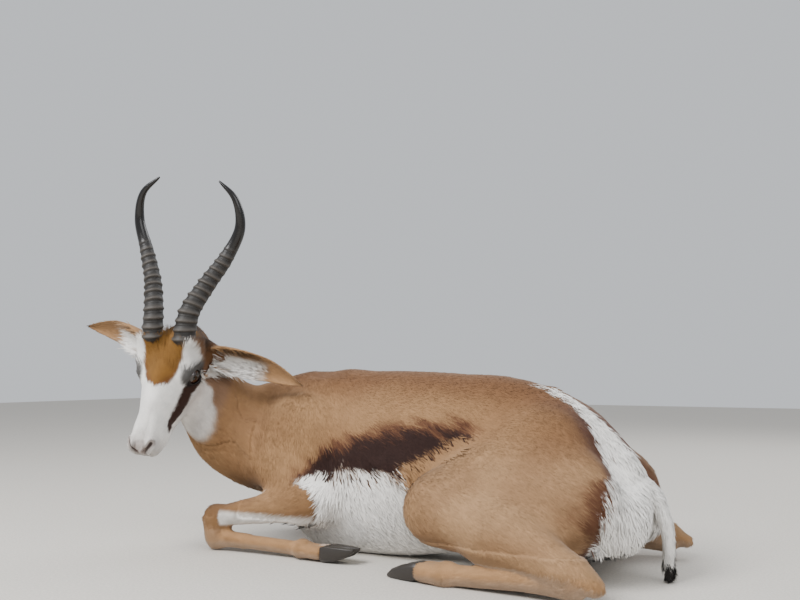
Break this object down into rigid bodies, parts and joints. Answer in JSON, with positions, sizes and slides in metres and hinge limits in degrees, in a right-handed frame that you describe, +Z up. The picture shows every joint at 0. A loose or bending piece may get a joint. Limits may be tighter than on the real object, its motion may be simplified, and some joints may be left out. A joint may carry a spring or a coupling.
{
  "type": "springbok",
  "caption": "Life-size springbok ram lying on its chest, legs folded, head raised and turned to its left, with ringed lyre-shaped horns.",
  "frame": {"origin": "on the floor, under the middle of the chest", "axes": "+X from the shoulders to the rump, +Y to the animal's right, +Z up"},
  "size_m": [1.0759, 0.5163, 0.6667],
  "materials": {
    "fur_tan": "matte",
    "fur_white": "matte",
    "horn": "satin",
    "hoof": "satin",
    "eye": "gloss"
  },
  "bodies": {
    "root": {"fore_shin_left": "fur_tan", "fore_claw_outer_left": "hoof", "fore_claw_inner_left": "hoof", "hind_shin_left": "fur_tan", "hind_claw_outer_left": "hoof", "hind_claw_inner_left": "hoof", "forearm_left": "fur_tan", "thigh_left": "fur_tan", "ear_left": "fur_tan", "horn_left": "horn", "eye_left": "eye", "fore_shin_right": "fur_tan", "fore_claw_outer_right": "hoof", "fore_claw_inner_right": "hoof", "hind_shin_right": "fur_tan", "hind_claw_outer_right": "hoof", "hind_claw_inner_right": "hoof", "forearm_right": "fur_tan", "thigh_right": "fur_tan", "ear_right": "fur_tan", "horn_right": "horn", "eye_right": "eye", "neck": "fur_tan", "torso": "fur_tan", "crest": "fur_white", "tail": "fur_white", "head": "fur_white"}
  },
  "joints": []
}
